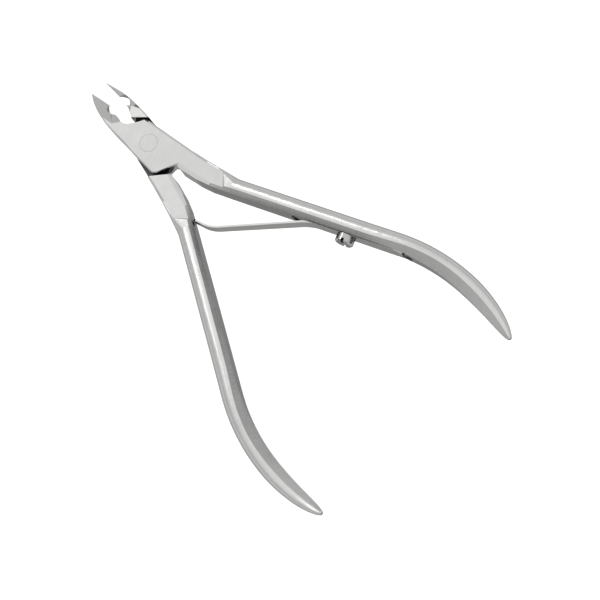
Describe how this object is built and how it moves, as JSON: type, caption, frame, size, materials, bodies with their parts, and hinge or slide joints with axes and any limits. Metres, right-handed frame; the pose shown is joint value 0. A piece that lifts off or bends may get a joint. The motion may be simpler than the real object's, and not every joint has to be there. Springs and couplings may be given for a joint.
{
  "type": "cuticle nipper",
  "caption": "Lap-joint nipper with short half-jaw cutting edges, curved palm handles and a leaf spring screwed inside one handle",
  "frame": {"origin": "on the pivot axis, at the ground back face of the lap joint", "axes": "+X runs from the pivot to the handles along the nipper's middle, +Y to the handle that carries the spring, +Z along the pivot axis out of the front face"},
  "size_m": [0.1136, 0.062, 0.0072],
  "materials": {
    "lever_steel": "satin, brushed crosswise on the handles and ground flat on the joint",
    "rivet_steel": "satin, ground flush with the joint",
    "spring_steel": "satin, brushed lengthwise",
    "screw_steel": "fine turned"
  },
  "bodies": {
    "front": {"front_lever": "lever_steel", "leaf_spring": "spring_steel", "spring_screw": "screw_steel"},
    "rear": {"rear_lever": "lever_steel", "pivot_rivet": "rivet_steel"}
  },
  "joints": [
    {"name": "jaw_hinge", "type": "hinge", "parent": "front", "child": "rear", "pos_m": [0, 0, 0], "axis": [0, 0, 1], "range_deg": [-2.5, 10.6], "stiffness_Nm_per_rad": 0.32, "deforming": ["leaf_spring"]}
  ]
}
